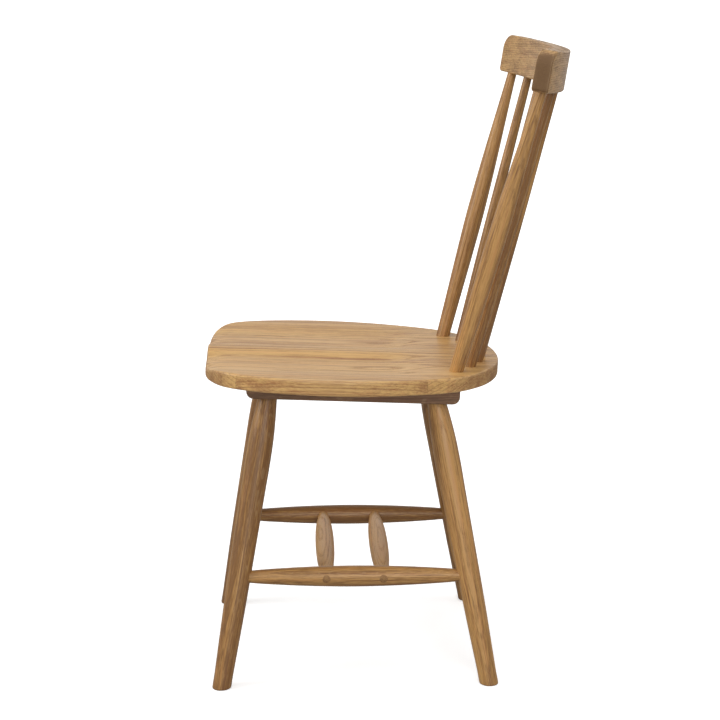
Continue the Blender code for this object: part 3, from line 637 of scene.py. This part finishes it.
# %% [markdown]
# ## Node groups: how oak looks
# Oak is ring-porous.  Each spring the tree lays down a band of wide pores, and through the
# summer it makes dense, smooth wood.  Rays, thin sheets of lighter tissue, run from the pith
# to the bark.  The group below works in the tree's own measures: a distance from the pith
# gives the rings, a direction round the pith gives the rays, and noise drawn out along the
# tree gives the pores and fibres.  It hands out a colour, a mask of how dull the surface is,
# and a height for the bump; the shader itself stays in each material.
# %% Small helpers for node trees
class Tree:
    """Short ways to add and join nodes in one node tree."""

    def __init__(self, tree):
        self.tree, self.column = tree, 0

    def add(self, kind, **settings):
        node = self.tree.nodes.new(kind)
        self.column += 1
        node.location = (self.column % 12 * 190, -(self.column // 12) * 260)
        for key, value in settings.items():
            setattr(node, key, value)
        return node

    def feed(self, socket, value):
        if isinstance(value, bpy.types.NodeSocket):
            self.tree.links.new(value, socket)
        else:
            socket.default_value = value

    def math(self, operation, *values, clamp=False):
        node = self.add("ShaderNodeMath", operation=operation, use_clamp=clamp)
        for socket, value in zip(node.inputs, values):
            self.feed(socket, value)
        return node.outputs[0]

    def vector(self, operation, *values):
        node = self.add("ShaderNodeVectorMath", operation=operation)
        for socket, value in zip(node.inputs, values):
            self.feed(socket, value)
        return node.outputs["Value"] if operation in ("LENGTH", "DOT_PRODUCT") else node.outputs[0]

    def split(self, value):
        node = self.add("ShaderNodeSeparateXYZ")
        self.feed(node.inputs[0], value)
        return node.outputs

    def join(self, x, y, z):
        node = self.add("ShaderNodeCombineXYZ")
        for socket, value in zip(node.inputs, (x, y, z)):
            self.feed(socket, value)
        return node.outputs[0]

    def noise(self, vector, scale=1.0, detail=2.0, rough=0.5, distort=0.0):
        node = self.add("ShaderNodeTexNoise")
        for key, value in (("Vector", vector), ("Scale", scale), ("Detail", detail),
                           ("Roughness", rough), ("Distortion", distort)):
            self.feed(node.inputs[key], value)
        return node.outputs[0]

    def fit(self, value, low, high, to_low=0.0, to_high=1.0, smooth=True):
        """Carry a value from one range to another, held at the ends."""
        node = self.add("ShaderNodeMapRange", clamp=True)
        node.interpolation_type = "SMOOTHSTEP" if smooth else "LINEAR"
        for socket, item in zip(node.inputs[:5], (value, low, high, to_low, to_high)):
            self.feed(socket, item)
        return node.outputs[0]

    def mix(self, share, first, second, blend="MIX"):
        node = self.add("ShaderNodeMix", data_type="RGBA", blend_type=blend)
        self.feed(node.inputs["Factor"], share)
        self.feed(node.inputs[6], first)
        self.feed(node.inputs[7], second)
        return node.outputs[2]


def new_group(name, inputs, outputs):
    """An empty node group with named sockets; gives the group, its helper and its ends."""
    group = bpy.data.node_groups.new(name, "ShaderNodeTree")
    for label, kind, value in inputs:
        socket = group.interface.new_socket(label, in_out="INPUT", socket_type=kind)
        if value is not None:
            socket.default_value = value
    for label, kind in outputs:
        group.interface.new_socket(label, in_out="OUTPUT", socket_type=kind)
    tree = Tree(group)
    start = tree.add("NodeGroupInput").outputs
    return group, tree, start, tree.add("NodeGroupOutput").inputs


FLOAT, VECTOR, COLOUR = "NodeSocketFloat", "NodeSocketVector", "NodeSocketColor"

# %% The oak group
oak_group, t, given, out = new_group(
    "oak_timber",
    [("Grain", VECTOR, None), ("Tone", FLOAT, 0.0), ("End", FLOAT, 0.0), ("Rub", FLOAT, 0.0),
     ("Ring Width", FLOAT, 0.0026), ("Ring Depth", FLOAT, 0.5), ("Taper", FLOAT, 0.012),
     ("Wander", FLOAT, 0.0022), ("Light", COLOUR, (0.55, 0.36, 0.19, 1.0)),
     ("Dark", COLOUR, (0.30, 0.165, 0.07, 1.0)), ("Pore", COLOUR, (0.14, 0.07, 0.03, 1.0)),
     ("Ray", COLOUR, (0.58, 0.39, 0.20, 1.0)), ("Figure", FLOAT, 1.0), ("End Dark", FLOAT, 0.30)],
    [("Color", COLOUR), ("Dull", FLOAT), ("Height", FLOAT)])
# how many waves of each noise go in a metre: across, across, and along the tree
WANDER, BROAD, STREAK = (28.0, 28.0, 5.0), (95.0, 95.0, 2.6), (420.0, 420.0, 6.5)
FLECK, BLUSH, FIBRE = (780.0, 780.0, 52.0), (210.0, 210.0, 4.0), (2300.0, 2300.0, 42.0)
PORE, RAY, RING_CHANGE = (3300.0, 3300.0, 130.0), (2600.0, 70.0, 75.0), 130.0

grain = given["Grain"]
wander = t.noise(t.vector("MULTIPLY", grain, WANDER), 1.0, 2.0, 0.5)
wander = t.math("SUBTRACT", wander, 0.5)
x, y, z = t.split(grain)
radius = t.vector("LENGTH", t.join(x, y, 0.0))
wander = t.math("MULTIPLY", wander, t.math("MULTIPLY", given["Wander"], 4.0))
radius = t.math("ADD", radius, wander)
radius = t.math("SUBTRACT", radius, t.math("MULTIPLY", z, given["Taper"]))
years = t.math("DIVIDE", radius, given["Ring Width"])
uneven = t.noise(t.join(t.math("MULTIPLY", radius, RING_CHANGE), 0.0, 0.0), 1.0, 1.0)
years = t.math("ADD", years, t.math("MULTIPLY", uneven, 1.6))
season = t.math("FRACT", years)
spring = t.math("MULTIPLY", t.fit(season, 0.0, 0.10), t.fit(season, 0.52, 0.22))

# broad streaks, thin streaks, fibres, short flecks and a pink blush, drawn out along the tree
broad = t.noise(t.vector("MULTIPLY", grain, BROAD), 1.0, 3.0, 0.55)
streak = t.noise(t.vector("MULTIPLY", grain, STREAK), 1.0, 3.0, 0.6)
fibre = t.noise(t.vector("MULTIPLY", grain, FIBRE), 1.0, 2.0, 0.6)
fleck = t.noise(t.vector("MULTIPLY", grain, FLECK), 1.0, 2.0, 0.6)
blush = t.noise(t.vector("MULTIPLY", grain, BLUSH), 1.0, 2.0, 0.5)

# pores: short dark channels, thick on the ground in spring wood
pore = t.noise(t.vector("MULTIPLY", grain, PORE), 1.0, 1.0, 0.4)
few = t.fit(spring, 0.0, 1.0, 0.72, 0.53, smooth=False)
pore = t.fit(t.math("SUBTRACT", pore, few), 0.0, 0.07)

# rays: thin in the round, tall along the tree, deep from pith to bark
around_pith = t.math("MULTIPLY", t.math("ARCTAN2", y, x), 0.06)
ray = t.noise(t.vector("MULTIPLY", t.join(around_pith, radius, z), RAY), 1.0, 0.0)
ray = t.fit(ray, 0.66, 0.74)

# %% Colour, dullness and height of the oak
depth = given["Ring Depth"]
end = t.fit(given["End"], 0.40, 0.78)
shade = t.math("MULTIPLY", spring, t.math("MULTIPLY", depth, t.fit(end, 0.0, 1.0, 1.0, 0.45)))
figure = t.fit(broad, 0.36, 0.68, -0.24, 0.28)
figure = t.math("ADD", figure, t.fit(streak, 0.36, 0.68, -0.13, 0.20))
figure = t.math("ADD", figure, t.fit(fibre, 0.35, 0.70, -0.05, 0.08))
figure = t.math("ADD", figure, t.fit(fleck, 0.36, 0.66, -0.12, 0.26))
shade = t.math("ADD", shade, t.math("MULTIPLY", figure, given["Figure"]))
# Tone darkens or lightens the whole piece: timber tone, and for several turned pieces painted
# shade or light.
shade = t.math("SUBTRACT", shade, given["Tone"])
shade = t.math("ADD", shade, t.math("MULTIPLY", end, 0.40))
shade = t.math("ADD", shade, 0.24, clamp=True)
wood = t.mix(shade, given["Light"], given["Dark"])
PINKER = (1.0, 0.92, 0.93, 1.0)
wood = t.mix(t.fit(blush, 0.48, 0.66, 0.0, 0.8), wood, PINKER, "MULTIPLY")
wood = t.mix(t.math("MULTIPLY", ray, 0.14), wood, given["Ray"])
wood = t.mix(t.math("MULTIPLY", pore, 0.45), wood, given["Pore"])
wood = t.mix(t.math("MULTIPLY", end, given["End Dark"]), wood, given["Pore"])
polish = t.math("MAXIMUM", given["Rub"], 0.0)
grime = t.math("MAXIMUM", t.math("MULTIPLY", given["Rub"], -1.0), 0.0)
wood = t.mix(t.math("MULTIPLY", polish, 0.16), wood, given["Ray"])
wood = t.mix(t.math("MULTIPLY", grime, 0.55), wood, given["Pore"])
t.feed(out["Color"], wood)
dull = t.math("ADD", t.math("MULTIPLY", pore, 0.30), t.math("MULTIPLY", spring, 0.15))
dull = t.math("ADD", dull, t.fit(streak, 0.3, 0.7, 0.0, 0.20))
dull = t.math("ADD", dull, t.math("MULTIPLY", end, 0.8))
t.feed(out["Dull"], t.math("SUBTRACT", dull, t.math("MULTIPLY", polish, 0.2), clamp=True))
height = t.math("SUBTRACT", t.math("MULTIPLY", fibre, 0.35), t.math("MULTIPLY", pore, 1.0))
t.feed(out["Height"], t.math("SUBTRACT", height, t.math("MULTIPLY", spring, 0.25)))
print("oak group has", len(oak_group.nodes), "nodes")

# %% [markdown]
# ## Node group: staves
# A glued seat shows its staves: the figure jumps at each joint and every stave has its own
# tone.  The number of a stave is the whole part of the distance across over its width.  A
# white noise of that number says where in a tree the stave was cut, and a stepped ramp
# gives it a tone.
# %% The stave group
STAVE_WIDTH, STAVE_JOINT = 0.0695, 0.1815
STAVE_TONES = [0.46, 0.54, 0.44, 0.48, 0.50, 0.66, 0.34]      # from the left edge; 0.5 is even
stave_group, t, given, out = new_group(
    "glued_staves",
    [("Board", VECTOR, None), ("Width", FLOAT, STAVE_WIDTH), ("Joint", FLOAT, STAVE_JOINT),
     ("Seed", FLOAT, 3.0)],
    [("Grain", VECTOR), ("Tone", FLOAT), ("Line", FLOAT)])
x, y, z = t.split(given["Board"])
place = t.math("DIVIDE", t.math("SUBTRACT", x, given["Joint"]), given["Width"])
number = t.math("FLOOR", place)
share = t.math("SUBTRACT", place, number)
luck = t.add("ShaderNodeTexWhiteNoise", noise_dimensions="2D")
t.feed(luck.inputs["Vector"], t.join(number, given["Seed"], 0.0))
lucky = t.split(luck.outputs["Color"])
tones = t.add("ShaderNodeValToRGB")
tones.color_ramp.interpolation = "CONSTANT"
for i, tone in enumerate(STAVE_TONES):
    if i > 1:
        tones.color_ramp.elements.new(i / len(STAVE_TONES))
    stop = tones.color_ramp.elements[i]
    stop.position = i / len(STAVE_TONES)
    stop.color = (tone, tone, tone, 1.0)
from_left = t.math("ADD", number, len(STAVE_TONES) - 0.5)
t.feed(tones.inputs["Fac"], t.math("DIVIDE", from_left, float(len(STAVE_TONES))))
across = t.math("MULTIPLY", t.math("SUBTRACT", share, 0.5), given["Width"])
across = t.math("ADD", across, t.fit(lucky[0], 0.0, 1.0, -0.045, 0.045, smooth=False))
under = t.math("ADD", y, t.fit(lucky[1], 0.0, 1.0, 0.040, 0.085, smooth=False))
along = t.math("ADD", z, t.math("MULTIPLY", lucky[2], 3.0))
t.feed(out["Grain"], t.join(across, under, along))
t.feed(out["Tone"], t.math("SUBTRACT", tones.outputs["Color"], 0.5))
edge = t.math("MULTIPLY", t.math("MINIMUM", share, t.math("SUBTRACT", 1.0, share)),
              given["Width"])
t.feed(out["Line"], t.fit(edge, 0.00005, 0.0004, 1.0, 0.0))

# %% [markdown]
# ## Materials
# The finish is a hardwax oil: it deepens the colour and leaves a low satin gloss, with the
# pores still open.  The shader is the same for all pieces, and what differs is the timber
# that is fed to it; the battens' much darker colours are painted shade.
# %% Make the oak finishes
def oak_finish(name, source="note", staves=False, gloss=0.42, bump=0.35, **timber):
    """A material that reads the grain note, or the object's own place for plain pieces."""
    mat = bpy.data.materials.new(name)
    mat.use_nodes = True
    tree = Tree(mat.node_tree)
    bsdf = mat.node_tree.nodes["Principled BSDF"]
    oak = tree.add("ShaderNodeGroup", node_tree=oak_group)
    if source == "note":
        board = tree.add("ShaderNodeAttribute", attribute_name="grain").outputs["Vector"]
        notes = tree.split(tree.add("ShaderNodeAttribute",
                                    attribute_name="finish").outputs["Vector"])
        tone, end, rub = notes
    else:
        place = tree.split(tree.add("ShaderNodeTexCoord").outputs["Object"])
        board = tree.join(tree.math("ADD", place[0], 0.06), place[2], place[1])
        tone, end, rub = 0.0, 0.0, 0.0
    if staves:
        cut = tree.add("ShaderNodeGroup", node_tree=stave_group)
        tree.feed(cut.inputs["Board"], board)
        board = cut.outputs["Grain"]
        tone = tree.math("ADD", tone, cut.outputs["Tone"])
        rub = tree.math("SUBTRACT", rub, tree.math("MULTIPLY", cut.outputs["Line"], 0.6))
    for label, value in (("Grain", board), ("Tone", tone), ("End", end), ("Rub", rub)):
        tree.feed(oak.inputs[label], value)
    for label, value in timber.items():
        tree.feed(oak.inputs[label.replace("_", " ")], value)
    tree.feed(bsdf.inputs["Base Color"], oak.outputs["Color"])
    tree.feed(bsdf.inputs["Roughness"],
              tree.fit(oak.outputs["Dull"], 0.0, 1.0, gloss, gloss + 0.30, smooth=False))
    relief = tree.add("ShaderNodeBump")
    relief.inputs["Strength"].default_value = bump
    relief.inputs["Distance"].default_value = 0.00025
    tree.feed(relief.inputs["Height"], oak.outputs["Height"])
    tree.feed(bsdf.inputs["Normal"], relief.outputs["Normal"])
    bsdf.inputs["IOR"].default_value = 1.46
    return mat


seat_oak = oak_finish("oiled_oak_seat", staves=True, gloss=0.38, Ring_Width=0.0042,
                      Ring_Depth=0.36, Figure=1.15, End_Dark=0.25,
                      Light=(0.60, 0.365, 0.130, 1.0), Dark=(0.33, 0.158, 0.056, 1.0))
# The crest rail's End Dark is much higher than the other pieces': its end is dark end grain and
# also painted shade.
crest_oak = oak_finish("oiled_oak_crest", gloss=0.38, Ring_Width=0.0030, Ring_Depth=0.30,
                       Figure=1.1, End_Dark=0.95,
                       Light=(0.50, 0.300, 0.120, 1.0), Dark=(0.22, 0.112, 0.040, 1.0),
                       Pore=(0.125, 0.062, 0.020, 1.0))
turned_oak = oak_finish("oiled_oak_turned", gloss=0.36, Ring_Width=0.0026, Ring_Depth=0.22,
                        Figure=1.15, End_Dark=0.30,
                        Light=(0.49, 0.265, 0.086, 1.0), Dark=(0.200, 0.092, 0.026, 1.0))
# The battens' Light and Dark are about half those of the other oak: painted shade for the shade
# under the seat.
batten_oak_painted_shade = oak_finish("oiled_oak_batten_painted_shade", source="place", Ring_Width=0.0026, Ring_Depth=0.30,
                        Light=(0.25, 0.135, 0.065, 1.0), Dark=(0.13, 0.066, 0.030, 1.0))

# %% [markdown]
# ## Screws
# The battens are held by countersunk screws with a bright zinc plate.  They are small, so
# the plain pieces stay and get a metal finish: plated steel is never evenly bright, so a
# fine noise varies its colour and its gloss.
# %% Make the zinc finish
zinc = bpy.data.materials.new("zinc_plated_screw")
zinc.use_nodes = True
t = Tree(zinc.node_tree)
steel = zinc.node_tree.nodes["Principled BSDF"]
mottle = t.noise(t.add("ShaderNodeTexCoord").outputs["Object"], 900.0, 3.0, 0.6)
t.feed(steel.inputs["Base Color"], t.mix(mottle, (0.60, 0.60, 0.58, 1), (0.78, 0.76, 0.70, 1)))
t.feed(steel.inputs["Roughness"], t.fit(mottle, 0.3, 0.7, 0.22, 0.42))
steel.inputs["Metallic"].default_value = 1.0

# %% [markdown]
# ## Handing the pieces over
# Each new piece takes its finish, rides on the frame's one body, and hides the plain piece
# it stands for.  The battens and the screws keep their plain shape, which is right already.
# %% Dress and hand over
SLOTS = {"seat": ("oak_seat", seat_oak), "crest_rail": ("oak_crest", crest_oak)}
for node, piece in new_pieces.items():
    slot, finish = SLOTS.get(node, ("oak_turned", turned_oak))
    piece.data.materials.append(finish)
    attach(piece, "root")
    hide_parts(node)

for node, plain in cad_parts.items():
    if node in new_pieces:
        continue
    is_screw = node.startswith("batten_screw")
    plain.data.materials.clear()
    plain.data.materials.append(zinc if is_screw else batten_oak_painted_shade)
print("new pieces:", len(new_pieces), "- plain pieces kept:", len(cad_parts) - len(new_pieces))

# %% [markdown]
# ## Floor, light and camera
# The chair stands on a plain pale floor in an even, soft studio light.  Five panels make
# it: one in front, one overhead, one at the side where the camera is, a weak one at the
# rear, and a wide backdrop that gives the seat its soft sheen at a low angle.  The floor
# glows a little for the camera only, so that it stays white without lighting the underside.
# The camera looks at the chair's side from above the seat with a long lens, so that lines
# stay nearly parallel.
# %% Floor and surround
floor_mesh = bpy.data.meshes.new("studio_floor")
half = 30.0
floor_mesh.from_pydata([(-half, -half, 0), (half, -half, 0), (half, half, 0), (-half, half, 0)],
                       [], [(0, 1, 2, 3)])
floor = bpy.data.objects.new("studio_floor", floor_mesh)
bpy.context.scene.collection.objects.link(floor)
floor_paint = bpy.data.materials.new("pale_floor")
floor_paint.use_nodes = True
t = Tree(floor_paint.node_tree)
paint = floor_paint.node_tree.nodes["Principled BSDF"]
seen = t.add("ShaderNodeLightPath").outputs["Is Camera Ray"]
FOR_BOUNCES, FOR_CAMERA = (0.42, 0.42, 0.42, 1.0), (0.86, 0.86, 0.86, 1.0)
t.feed(paint.inputs["Base Color"], t.mix(seen, FOR_BOUNCES, FOR_CAMERA))
away = t.vector("LENGTH", t.add("ShaderNodeTexCoord").outputs["Object"])
glow = t.fit(away, 0.6, 4.0, 0.45, 1.1, smooth=False)
t.feed(paint.inputs["Emission Color"], t.mix(seen, (0, 0, 0, 1), (1, 1, 1, 1)))
t.feed(paint.inputs["Emission Strength"], glow)
paint.inputs["Roughness"].default_value = 0.9
paint.inputs["Specular IOR Level"].default_value = 0.1
floor_mesh.materials.append(floor_paint)
floor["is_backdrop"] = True

world = bpy.data.worlds.new("studio_surround")
bpy.context.scene.world = world
world.use_nodes = True
t = Tree(world.node_tree)
sky = world.node_tree.nodes["Background"]
seen = t.add("ShaderNodeLightPath").outputs["Is Camera Ray"]
t.feed(sky.inputs["Color"], (1.0, 1.0, 1.0, 1.0))
t.feed(sky.inputs["Strength"], t.fit(seen, 0.0, 1.0, 0.34, 1.05, smooth=False))


# %% Lights
def soft_light(name, place, aim, size, power):
    """A light panel (width, height) at a place, turned to face a point."""
    lamp = bpy.data.lights.new(name, "AREA")
    lamp.shape, lamp.energy = "RECTANGLE", power
    lamp.size, lamp.size_y = size
    panel_obj = bpy.data.objects.new(name, lamp)
    bpy.context.scene.collection.objects.link(panel_obj)
    panel_obj.location = place
    heading = Vector(aim) - Vector(place)
    panel_obj.rotation_euler = heading.to_track_quat("-Z", "Y").to_euler()
    panel_obj.visible_camera = False


low_corner, high_corner = (np.array(c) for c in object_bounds())
middle = (low_corner + high_corner) / 2.0
soft_light("front_panel", (0.6, -2.9, 1.9), middle, (1.6, 1.6), 50.0)
soft_light("overhead_panel", (0.3, -0.2, 3.2), middle, (2.4, 2.4), 31.0)
soft_light("side_panel", (3.3, 0.4, 1.5), middle, (2.0, 2.0), 52.0)
soft_light("rear_panel", (0.6, 2.6, 1.9), middle, (1.4, 1.4), 13.0)
soft_light("backdrop_panel", (-3.0, 0.0, 1.3), (0.0, 0.0, 1.3), (6.0, 2.6), 26.0)
print("light panels:", len(bpy.data.lights))

# %% Camera
CAMERA_REACH, CAMERA_FRONT, CAMERA_HEIGHT = 2.683, 0.0791, 1.0131
CAMERA_YAW, CAMERA_PITCH, CAMERA_ROLL = -0.04779, 0.21680, -0.00126
LENS = 96.40
look = bpy.data.cameras.new("side_camera")
look.lens, look.sensor_width = LENS, 36.0
look.shift_x, look.shift_y = -0.0356, 0.0006
camera = bpy.data.objects.new("side_camera", look)
bpy.context.scene.collection.objects.link(camera)
camera.location = (CAMERA_REACH, -CAMERA_FRONT + shift_y, CAMERA_HEIGHT)
toward = Vector((-math.cos(CAMERA_YAW) * math.cos(CAMERA_PITCH),
                 -math.sin(CAMERA_YAW) * math.cos(CAMERA_PITCH), -math.sin(CAMERA_PITCH)))
turned = toward.to_track_quat("-Z", "Y").to_matrix()
roll = math.cos(CAMERA_ROLL), math.sin(CAMERA_ROLL)
rolled = turned.copy()
rolled.col[0] = turned.col[0] * roll[0] - turned.col[1] * roll[1]
rolled.col[1] = turned.col[0] * roll[1] + turned.col[1] * roll[0]
camera.rotation_euler = rolled.to_euler()
bpy.context.scene.camera = camera
bpy.context.scene.view_settings.view_transform = "Standard"
print("camera stands %.2f m from the chair" % (CAMERA_REACH - middle[0]))
